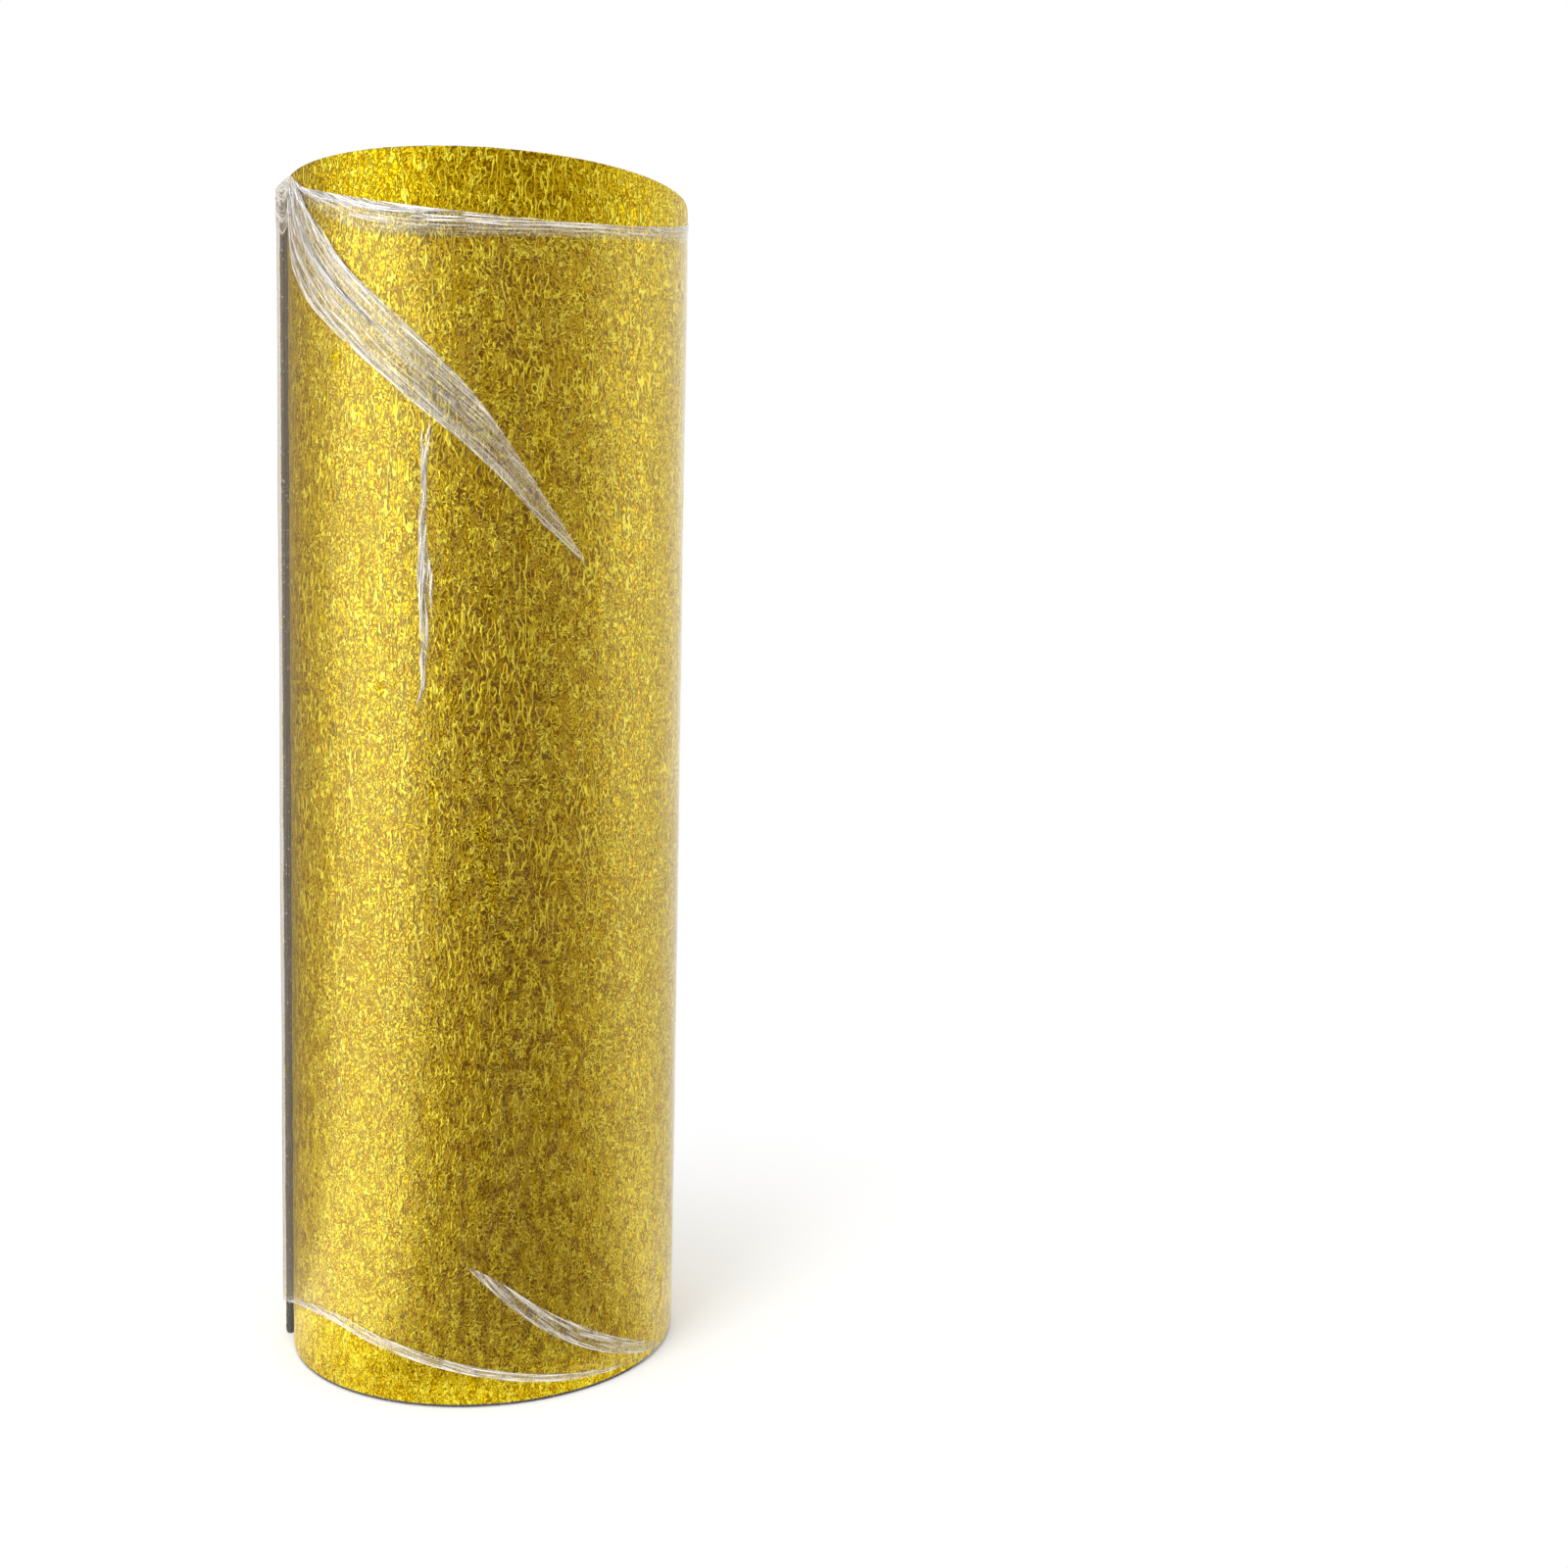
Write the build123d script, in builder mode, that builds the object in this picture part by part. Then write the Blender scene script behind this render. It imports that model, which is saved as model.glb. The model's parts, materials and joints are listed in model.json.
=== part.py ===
"""Roll of faced foam underlay, bound in clear stretch film.

One long sheet of closed-cell foam, faced on its outer side with crinkled gold metallised film,
is wound on itself with no tube, which leaves an open core. A web of clear stretch film is wound
round the roll and laps over part of each end.

Millimetres. The roll stands on its bottom end: +Z runs up along its axis, the origin is the centre
of the core at the bottom end, and angles run counterclockwise from +X, seen from above.
"""

from build123d import *
from math import acos, atan, cos, degrees, radians, sin, tan
import os

# the sheet
sheet_width = 1050.0  # the length of the roll
foam_thickness = 9.3  # a nominal 10 mm sheet, slightly squeezed by the winding
facing_thickness = 0.4  # over the crinkles that are embossed in it
facing_set_back = 1.0  # from each side edge of the foam

# the winding
core_radius = 17.5
full_turns = 16
turn_gap = 0.3  # between the facing of one turn and the foam of the next
step_angle = 120.0  # where the sheet starts, and where each turn has climbed onto the one before
climb_angle = 75.0  # the part of a turn over which it climbs by one thickness
tail_angle = 180.0  # where the sheet ends on the outside

# the stretch film
film_thickness = 0.3  # several plies
film_gap = 0.2  # between the film and what it covers, and between its passes
lap_reach = 0.31  # how far in the laps reach over the ends, as a share of the roll's radius
lap_set_in = 0.2  # how far the laps lie below the flat of each end

# the film's two edges, each in a sloping plane round the front of the roll
top_edge_drop = 56.0
top_edge_front = 278.0
top_edge_half_angle = 90.0
bottom_edge_rise = 55.0
bottom_edge_front = 235.0
bottom_edge_half_angle = 80.0
hem_width = 9.0

# the gathered band that runs down across the front, as depths below the top rim at three angles
band_root_angle = 201.0
band_middle_angle = 266.0
band_tip_angle = 296.5
band_root_upper = 10.0
band_root_lower = 65.0
band_middle_upper = 198.0
band_middle_lower = 242.0
band_tip_depth = 321.0

# the film's loose end, pressed flat below that band
tab_angle = 252.5
tab_width = 10.0
tab_depth = 224.0
tab_length = 219.0

# the gathered band that runs down to the bottom rim
lower_band_start_angle = 264.0
lower_band_start_height = 127.0
lower_band_end_angle = 333.0
lower_band_end_height = 13.0
lower_band_width = 18.0

# worked out from these
pitch = foam_thickness + facing_thickness + turn_gap
body_radius = core_radius + full_turns * pitch - turn_gap
tail_radius = body_radius + pitch
lift_angle = step_angle - climb_angle
cover = facing_thickness + turn_gap  # from the foam of one turn to the foam of the next
wedge_angle = degrees(acos((core_radius - cover) / core_radius))
wedge_run = (core_radius - cover) * tan(radians(wedge_angle))
lap_inner_radius = body_radius * (1.0 - lap_reach)
pocket_depth = lap_set_in + film_thickness + film_gap
film_bottom = lap_set_in + film_thickness
film_top = sheet_width - film_bottom
pass_height = film_thickness + film_gap  # how much further out each further pass of film lies


def on_circle(radius, angle):
    """The point at this radius and angle round the roll's axis."""
    return (radius * cos(radians(angle)), radius * sin(radians(angle)))


def front_point(angle, height):
    """The place on the front view, across and up, of a point of the body at this angle."""
    return (body_radius * cos(radians(angle)), height)


def run_point(radius, offset, distance):
    """A point this far along the straight run that starts a climb from a turn of this radius."""
    lift = on_circle(radius + offset, lift_angle)
    along = on_circle(distance, lift_angle + 90)
    return (lift[0] + along[0], lift[1] + along[1])


def climb(radius, offset, skipped=0):
    """Draws one climb of one pitch from a turn of this radius: a straight run, then an arc.

    Both meet the turns before and after them in line, offset moves the whole path outwards, and
    the first stretch of the run, skipped long, is left out.
    """
    next_radius = radius + pitch
    run = pitch / tan(radians(climb_angle / 2))
    turn = radians(climb_angle)
    arc_radius = (radius - next_radius * cos(turn)) / sin(turn) / tan(turn / 2)
    run_end = run_point(radius, offset, run)
    to_centre = on_circle(arc_radius + offset, lift_angle)
    centre = (run_end[0] - to_centre[0], run_end[1] - to_centre[1])
    Line(run_point(radius, offset, skipped), run_end)
    CenterArc(centre, arc_radius + offset, lift_angle, climb_angle)


def winding(offset):
    """Draws one face of the wound sheet, this far out from its inner face, up to its tail."""
    for turn in range(full_turns):
        radius = core_radius + turn * pitch
        CenterArc((0, 0), radius + offset, step_angle, 360 - climb_angle)
        climb(radius, offset)
    last_radius = core_radius + full_turns * pitch
    CenterArc((0, 0), last_radius + offset, step_angle, tail_angle - step_angle)


def outer_winding(offset):
    """Draws an outer face of the sheet, from the tip of its squeezed inner end up to its tail."""
    climb(core_radius, offset - pitch, wedge_run)
    winding(offset)


def tail_cut(inner_offset, outer_offset):
    """Draws the cut that ends the sheet on the outside."""
    last_radius = core_radius + full_turns * pitch
    Line(on_circle(last_radius + inner_offset, tail_angle), on_circle(last_radius + outer_offset, tail_angle))


def wrap_outline(offset):
    """Draws the outline of taut film round the roll, this far out from the facing.

    It follows the outermost turn, then leaves the sheet's end in a straight line, which meets the
    turn below where it is tangent to it.
    """
    bridge_angle = tail_angle + degrees(acos((body_radius + offset) / (tail_radius + offset)))
    CenterArc((0, 0), body_radius + offset, bridge_angle, 360 + lift_angle - bridge_angle)
    climb(body_radius, offset)
    CenterArc((0, 0), tail_radius + offset, step_angle, tail_angle - step_angle)
    Line(on_circle(tail_radius + offset, tail_angle), on_circle(body_radius + offset, bridge_angle))


def film_pass(level):
    """Makes the ring section of one pass of film, in the open sketch: level 0 lies on the sheet."""
    inner_offset = film_gap + level * pass_height
    with BuildLine() as outer_face:
        wrap_outline(inner_offset + film_thickness)
    make_face(outer_face.edges())
    with BuildLine() as inner_face:
        wrap_outline(inner_offset)
    make_face(inner_face.edges(), mode=Mode.SUBTRACT)


def lap_face(offset, edge_gap, first_angle, last_angle):
    """Makes the crescent of a lap, in the open sketch, out to this far from the facing.

    Its inner edge is the film pulled tight: an arc round the axis between two chords tangent to it,
    which leave the body's rim at the two angles. edge_gap moves the whole edge inwards.
    """
    arc_start = first_angle + degrees(acos(lap_inner_radius / body_radius))
    arc_end = last_angle - degrees(acos(lap_inner_radius / body_radius))
    edge_radius = lap_inner_radius - edge_gap
    rim_radius = tail_radius + offset
    chord_angle = degrees(acos(edge_radius / rim_radius))
    rim_start = arc_start - chord_angle
    rim_end = arc_end + chord_angle
    with BuildLine() as rim:
        wrap_outline(offset)
    make_face(rim.edges())
    with BuildLine() as crescent:
        Line(on_circle(rim_radius, rim_start), on_circle(edge_radius, arc_start))
        CenterArc((0, 0), edge_radius, arc_start, arc_end - arc_start)
        Line(on_circle(edge_radius, arc_end), on_circle(rim_radius, rim_end))
        CenterArc((0, 0), rim_radius, rim_start, rim_end - rim_start)
    make_face(crescent.edges(), mode=Mode.INTERSECT)


def edge_plane(height, tilt, front_angle):
    """A plane that crosses the axis at this height and slopes by this angle towards the front."""
    return Plane(
        origin=(0, 0, height),
        x_dir=Vector(-sin(radians(front_angle)), cos(radians(front_angle)), 0),
        z_dir=Vector(
            sin(radians(tilt)) * cos(radians(front_angle)),
            sin(radians(tilt)) * sin(radians(front_angle)),
            cos(radians(tilt)),
        ),
    )


# the planes of the film's two edges: the first falls towards the front, the second rises
top_edge_tilt = degrees(atan(top_edge_drop / body_radius))
top_edge = edge_plane(sheet_width, top_edge_tilt, top_edge_front)
bottom_slope = bottom_edge_rise / (1.0 - cos(radians(bottom_edge_half_angle)))
bottom_edge_tilt = -degrees(atan(bottom_slope / body_radius))
bottom_edge = edge_plane(bottom_edge_rise - bottom_slope, bottom_edge_tilt, bottom_edge_front)

top_lap_start = top_edge_front + top_edge_half_angle - 360
top_lap_end = top_edge_front - top_edge_half_angle
bottom_lap_start = bottom_edge_front + bottom_edge_half_angle - 360
bottom_lap_end = bottom_edge_front - bottom_edge_half_angle

# the foam: its inner end is squeezed to a wedge under the first turn, which keeps the core round,
# and each end has a shallow pocket where the taut film presses in
with BuildPart() as foam_sheet:
    with BuildSketch():
        with BuildLine():
            CenterArc((0, 0), core_radius, lift_angle + wedge_angle, climb_angle - wedge_angle)
            winding(0)
            outer_winding(foam_thickness)
            tail_cut(0, foam_thickness)
        make_face()
    extrude(amount=sheet_width)
    with BuildSketch(Plane.XY.offset(sheet_width - pocket_depth)):
        lap_face(film_thickness + 2 * film_gap, film_gap, top_lap_start, top_lap_end)
    extrude(amount=pocket_depth, mode=Mode.SUBTRACT)
    with BuildSketch():
        lap_face(film_thickness + 2 * film_gap, film_gap, bottom_lap_start, bottom_lap_end)
    extrude(amount=pocket_depth, mode=Mode.SUBTRACT)

# the metallised facing, laminated to the foam's outer side from end to end of the sheet
with BuildPart() as gold_facing:
    with BuildSketch(Plane.XY.offset(facing_set_back)):
        with BuildLine():
            outer_winding(foam_thickness)
            outer_winding(foam_thickness + facing_thickness)
            Line(run_point(core_radius, -cover, wedge_run), run_point(core_radius, -turn_gap, wedge_run))
            tail_cut(foam_thickness, foam_thickness + facing_thickness)
        make_face()
    extrude(amount=sheet_width - 2 * facing_set_back)

# the film round the body of the roll, between its two sloping edges
with BuildPart() as film_body_wrap:
    with BuildSketch(Plane.XY.offset(film_bottom)):
        film_pass(0)
    extrude(amount=film_top - film_bottom)
    split(bisect_by=top_edge, keep=Keep.BOTTOM)
    split(bisect_by=bottom_edge, keep=Keep.TOP)

# the film's laps over the ends
with BuildPart() as film_top_lap:
    with BuildSketch(Plane.XY.offset(film_top)):
        lap_face(film_gap + film_thickness, 0, top_lap_start, top_lap_end)
    extrude(amount=film_thickness)

with BuildPart() as film_bottom_lap:
    with BuildSketch(Plane.XY.offset(lap_set_in)):
        lap_face(film_gap + film_thickness, 0, bottom_lap_start, bottom_lap_end)
    extrude(amount=film_thickness)

# the gathered hems along the film's two edges
with BuildPart() as film_top_hem:
    with BuildSketch(Plane.XY.offset(film_bottom)):
        film_pass(1)
    extrude(amount=film_top - film_bottom)
    split(bisect_by=top_edge, keep=Keep.BOTTOM)
    split(bisect_by=top_edge.offset(-hem_width), keep=Keep.TOP)

with BuildPart() as film_bottom_hem:
    with BuildSketch(Plane.XY.offset(film_bottom)):
        film_pass(1)
    extrude(amount=film_top - film_bottom)
    split(bisect_by=bottom_edge, keep=Keep.TOP)
    split(bisect_by=bottom_edge.offset(hem_width), keep=Keep.BOTTOM)

# the gathered band across the front, from the top rim down to its tip
with BuildPart() as film_diagonal_band:
    with BuildSketch(Plane.XY.offset(film_bottom)):
        film_pass(2)
    extrude(amount=film_top - film_bottom)
    with BuildSketch(Plane.XZ):
        with BuildLine():
            upper_edge = ThreePointArc(
                front_point(band_root_angle, sheet_width - band_root_upper),
                front_point(band_middle_angle, sheet_width - band_middle_upper),
                front_point(band_tip_angle, sheet_width - band_tip_depth),
            )
            lower_edge = ThreePointArc(
                front_point(band_tip_angle, sheet_width - band_tip_depth),
                front_point(band_middle_angle, sheet_width - band_middle_lower),
                front_point(band_root_angle, sheet_width - band_root_lower),
            )
            Line(lower_edge @ 1, upper_edge @ 0)
        make_face()
    extrude(amount=2 * tail_radius, mode=Mode.INTERSECT)

# the film's loose end, pressed onto the wrap below the band
with BuildPart() as film_end_tab:
    with BuildSketch(Plane.XY.offset(film_bottom)):
        film_pass(1)
    extrude(amount=film_top - film_bottom)
    with BuildSketch(Plane.XZ):
        with Locations(front_point(tab_angle, sheet_width - tab_depth - tab_length / 2)):
            SlotOverall(tab_length, tab_width, rotation=90)
    extrude(amount=2 * tail_radius, mode=Mode.INTERSECT)

# the gathered band that runs down to the bottom rim
with BuildPart() as film_lower_band:
    with BuildSketch(Plane.XY.offset(film_bottom)):
        film_pass(1)
    extrude(amount=film_top - film_bottom)
    with BuildSketch(Plane.XZ):
        with BuildLine():
            band_start = front_point(lower_band_start_angle, lower_band_start_height)
            band_end = front_point(lower_band_end_angle, lower_band_end_height)
            SagittaArc(band_start, band_end, lower_band_width / 2)
            SagittaArc(band_start, band_end, -lower_band_width / 2)
        make_face()
    extrude(amount=2 * tail_radius, mode=Mode.INTERSECT)

os.makedirs("parts", exist_ok=True)

foam_sheet.part.label = "foam_sheet"
export_step(foam_sheet.part, "parts/foam_sheet.step")
gold_facing.part.label = "gold_facing"
export_step(gold_facing.part, "parts/gold_facing.step")
film_body_wrap.part.label = "film_body_wrap"
export_step(film_body_wrap.part, "parts/film_body_wrap.step")
film_top_lap.part.label = "film_top_lap"
export_step(film_top_lap.part, "parts/film_top_lap.step")
film_bottom_lap.part.label = "film_bottom_lap"
export_step(film_bottom_lap.part, "parts/film_bottom_lap.step")
film_top_hem.part.label = "film_top_hem"
export_step(film_top_hem.part, "parts/film_top_hem.step")
film_bottom_hem.part.label = "film_bottom_hem"
export_step(film_bottom_hem.part, "parts/film_bottom_hem.step")
film_diagonal_band.part.label = "film_diagonal_band"
export_step(film_diagonal_band.part, "parts/film_diagonal_band.step")
film_end_tab.part.label = "film_end_tab"
export_step(film_end_tab.part, "parts/film_end_tab.step")
film_lower_band.part.label = "film_lower_band"
export_step(film_lower_band.part, "parts/film_lower_band.step")
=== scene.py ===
"""A roll of gold-faced foam underlay in clear stretch film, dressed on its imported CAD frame.

Metres. The roll's axis is Z, its bottom end is at zero, and angles run counterclockwise from +X,
seen from above. The sheet's outer end lies at the left, where the angle is 180 degrees. A winding
angle goes on counting past 360 degrees, turn after turn.
"""

import json
import math

import bpy
import numpy as np
from mathutils import Matrix, Vector

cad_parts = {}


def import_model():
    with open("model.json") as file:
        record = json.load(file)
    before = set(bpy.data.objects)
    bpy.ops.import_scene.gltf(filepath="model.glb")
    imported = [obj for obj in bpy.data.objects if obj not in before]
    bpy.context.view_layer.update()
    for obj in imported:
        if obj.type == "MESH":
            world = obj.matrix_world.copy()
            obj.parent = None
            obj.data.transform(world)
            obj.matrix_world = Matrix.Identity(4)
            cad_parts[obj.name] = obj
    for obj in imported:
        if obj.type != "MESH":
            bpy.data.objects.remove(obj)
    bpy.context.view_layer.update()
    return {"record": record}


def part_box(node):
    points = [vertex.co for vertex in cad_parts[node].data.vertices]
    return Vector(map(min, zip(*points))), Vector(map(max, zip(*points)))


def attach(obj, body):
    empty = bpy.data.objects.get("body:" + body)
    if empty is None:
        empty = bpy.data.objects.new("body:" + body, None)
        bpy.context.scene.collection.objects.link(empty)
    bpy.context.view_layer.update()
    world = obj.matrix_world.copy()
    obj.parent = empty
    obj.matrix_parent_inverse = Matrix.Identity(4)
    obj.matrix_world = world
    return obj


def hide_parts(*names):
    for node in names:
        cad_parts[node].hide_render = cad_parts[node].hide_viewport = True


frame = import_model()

MM = 0.001
DEGREE = math.radians(1)

# sizes read from the frame, whose turns lie 0.3 mm apart
core_bore = next(m for m in frame["record"]["mounts"] if m["name"] == "core_bore")
core_radius = core_bore["dims"]["r_mm"] * MM
facing_low, facing_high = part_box("gold_facing")
foam_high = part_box("foam_sheet")[1]
roll_height = foam_high.z
body_radius = facing_high.x
tail_radius = -facing_low.x
pitch = tail_radius - body_radius
facing_thickness = facing_high.x - foam_high.x
turn_gap_mm = 0.3
foam_thickness = round((pitch - facing_thickness) / MM - turn_gap_mm, 1) * MM
full_turns = round((body_radius - core_radius) / pitch)

# the winding, in degrees, as the frame's sheet is wound: it climbs one pitch just before the step
step_angle = 120.0
climb_angle = 75.0
tail_angle = 180.0
lift_angle = step_angle - climb_angle
last_angle = 360.0 * full_turns + tail_angle

# the film's upper edge: a sloping plane, lowest at this angle. In the frame it drops 2 mm more.
top_edge_front = 278.0
top_edge_drop = 54 * MM

# the film's lower edge: where it is open to the front, and its course as (angle, height in mm)
bottom_edge_front = 235.0
bottom_edge_points = [
    (150, 0), (178, 30), (200, 52), (219, 60), (243, 46), (268, 28), (290, 15), (312, 9), (328, 0),
]


# ---------------------------------------------------------------- numbers

def ripples(seed, u, v, length_u, length_v, count=60, spread=0.5):
    """Smooth random relief of about unit size: a sum of plane waves.

    Each wave has a random phase and a random length within spread of the two given lengths, so the
    relief is longer along the axis whose length is longer.
    """
    random = np.random.default_rng(seed)
    turn = random.uniform(0, 2 * np.pi, count)
    size = random.uniform(1 - spread, 1 + spread, count)
    phase = random.uniform(0, 2 * np.pi, count)
    total = np.zeros(np.broadcast(u, v).shape)
    for k in range(count):
        wave_u = np.cos(turn[k]) * size[k] * 2 * np.pi / length_u
        wave_v = np.sin(turn[k]) * size[k] * 2 * np.pi / length_v
        total += np.cos(wave_u * u + wave_v * v + phase[k])
    return total * math.sqrt(2.0 / count)


def smooth_step(low, high, x):
    """0 below low, 1 above high, and the cubic 3t^2 - 2t^3 between them."""
    t = np.clip((x - low) / (high - low), 0, 1)
    return t * t * (3 - 2 * t)


def drawn_back(distance, reach, depth):
    """How far a surface draws back near an edge, along a quarter ellipse.

    It is depth at the edge itself, and 0 from reach away.
    """
    beyond = np.clip(1 - distance / reach, 0, 1)
    return depth * (1 - np.sqrt(1 - beyond ** 2))


def through(points, t):
    """A smooth curve through given points, read at t from 0 to 1 (Catmull-Rom)."""
    points = np.asarray(points, float)
    last = len(points) - 1
    padded = np.vstack([2 * points[0] - points[1], points, 2 * points[-1] - points[-2]])
    place = np.clip(np.asarray(t, float), 0, 1) * last
    k = np.minimum(place.astype(int), last - 1)
    f = (place - k)[..., None]
    a, b, c, d = padded[k], padded[k + 1], padded[k + 2], padded[k + 3]
    square, cube = 2 * a - 5 * b + 4 * c - d, 3 * b - a - 3 * c + d
    return 0.5 * (2 * b + (c - a) * f + square * f ** 2 + cube * f ** 3)


def towards(start, stop, count):
    """Angles from start to stop that crowd together at stop, as the cosine of even steps does."""
    return stop - (stop - start) * np.cos(np.linspace(0, np.pi / 2, count))


# ---------------------------------------------------------------- the winding

def climb_radius(radius, angle):
    """Distance from the axis while the sheet climbs one pitch from a turn of this radius.

    angle is in radians past the lift: first a straight run, then an arc that lands in line with
    the next turn, as in the frame.
    """
    turn = math.radians(climb_angle)
    run = pitch / math.tan(turn / 2)
    arc_radius = (radius - (radius + pitch) * math.cos(turn)) / math.sin(turn) / math.tan(turn / 2)
    centre_x = radius - arc_radius
    along = centre_x * np.cos(angle) + run * np.sin(angle)
    across_squared = centre_x ** 2 + run ** 2 - along ** 2
    on_arc = along + np.sqrt(np.maximum(arc_radius ** 2 - across_squared, 0))
    return np.where(angle < np.arctan2(run, radius), radius / np.cos(angle), on_arc)


def winding_radius(angle):
    """Distance from the axis to the sheet's inner face, at a winding angle in degrees.

    Each turn keeps its radius, then climbs one pitch over its last part. The sheet's inner end,
    before the first step, lies on the core.
    """
    past_step = angle - step_angle
    turn = np.clip(np.floor(past_step / 360), 0, full_turns)
    into_climb = past_step - 360 * turn - (360 - climb_angle)
    radius = core_radius + turn * pitch
    climbing = climb_radius(radius, np.radians(np.clip(into_climb, 0, climb_angle)))
    return np.where(into_climb > 0, climbing, radius)


def wrap_radius(angle, offset):
    """Distance from the axis to taut film round the whole roll, at an angle in degrees.

    It follows the outermost turn, and leaves the sheet's end in a line tangent to the turn below.
    """
    angle = np.mod(angle, 360)
    bridge = math.degrees(math.acos((body_radius + offset) / (tail_radius + offset)))
    touch = tail_angle + bridge
    into_climb = np.radians(np.clip(angle - lift_angle, 0, climb_angle))
    outer = climb_radius(body_radius, into_climb)
    outer = np.where(angle < lift_angle, body_radius, outer)
    outer = np.where(angle > step_angle, tail_radius, outer) + offset
    straight = (body_radius + offset) / np.cos(np.radians(np.clip(angle - touch, -bridge, 0)))
    outer = np.where(angle > tail_angle, straight, outer)
    return np.where(angle > touch, body_radius + offset, outer)


def before_end(angle):
    """Distance left to the sheet's outer end, along the outermost turn."""
    return (last_angle - angle) * DEGREE * tail_radius


def squeezed_end(angle):
    """How far the taut film presses the outer face in, near the sheet's outer end."""
    depth, length = 1.8 * MM, 30 * MM
    return depth * smooth_step(-length, 0, -before_end(angle))


# ---------------------------------------------------------------- meshes

def tube_quads(index, ring, flip):
    """Quads over a grid of vertex numbers, closed round its second way, and its first in a ring."""
    rows = np.vstack([index, index[:1]]) if ring else index
    rows = np.hstack([rows, rows[:, :1]])
    corners = [rows[:-1, :-1], rows[1:, :-1], rows[1:, 1:], rows[:-1, 1:]]
    if flip:
        corners.reverse()
    return np.stack(corners, axis=-1).reshape(-1, 4)


def tube_ends(index, flip):
    """The two faces that cap a tube of vertex numbers."""
    ends = [index[0], index[-1][::-1]]
    return [(end[::-1] if flip else end).tolist() for end in ends]


def piece(name, grids, material, node, ring=False, flip=False, uv=None, veil=None):
    """Makes one closed mesh from grids of points, each an array of shape (nu, nv, 3).

    Each grid is a tube that is closed round its second way. A ring is closed along its first way
    too, and any other tube is capped. flip turns the faces of a grid that runs the other way round.
    uv is a grid of surface coordinates for each of the grids, and veil says how milky film is at
    each point.
    """
    quads, ends, base = [], [], 0
    for grid in grids:
        index = np.arange(grid.shape[0] * grid.shape[1]).reshape(grid.shape[:2]) + base
        quads.append(tube_quads(index, ring, flip))
        ends += [] if ring else tube_ends(index, flip)
        base += index.size
    vertices = np.concatenate([grid.reshape(-1, 3) for grid in grids])
    mesh = bpy.data.meshes.new(name)
    mesh.from_pydata(vertices.tolist(), [], np.concatenate(quads).tolist() + ends)
    if uv is not None:
        corners = np.empty(len(mesh.loops), dtype=np.int32)
        mesh.loops.foreach_get("vertex_index", corners)
        places = np.concatenate([grid.reshape(-1, 2) for grid in uv])[corners]
        layer = mesh.uv_layers.new(name="surface")
        layer.data.foreach_set("uv", places.astype(np.float32).ravel())
    if veil is not None:
        levels = np.broadcast_to(veil, grids[0].shape[:2]).astype(np.float32)
        mesh.attributes.new("veil", "FLOAT", "POINT").data.foreach_set("value", levels.ravel())
    mesh.polygons.foreach_set("use_smooth", np.ones(len(mesh.polygons), dtype=bool))
    mesh.validate()
    mesh.update()
    mesh.materials.append(material)
    made = bpy.data.objects.new(name, mesh)
    bpy.context.scene.collection.objects.link(made)
    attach(made, "root")
    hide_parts(node)
    return made


def round_axis(angle, radius, height):
    """Points from an angle in degrees, a distance from the axis and a height."""
    turn = np.radians(angle)
    return np.stack(
        np.broadcast_arrays(radius * np.cos(turn), radius * np.sin(turn), height), axis=-1)


def outward(line):
    """Unit normals of a plane line of points, on its right-hand side."""
    along = np.gradient(line, axis=0)
    normal = np.stack([along[:, 1], -along[:, 0]], axis=-1)
    return normal / np.linalg.norm(normal, axis=1, keepdims=True)


def swept(line, across, height):
    """A section carried along a plane line: points that stand off it by across, at their height."""
    plan = line[:, None, :] + outward(line)[:, None, :] * across[..., None]
    height = np.broadcast_to(height, across.shape)
    return np.concatenate([plan, height[..., None]], axis=-1)


# ---------------------------------------------------------------- shader maths

def operator(operation, reflected=False):
    """A Python operator that adds a Math node, with the socket first or, if reflected, second."""
    def apply(self, other):
        first, second = (other, self) if reflected else (self, other)
        return self.node("ShaderNodeMath", {"operation": operation}, {0: first, 1: second})
    return apply


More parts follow.
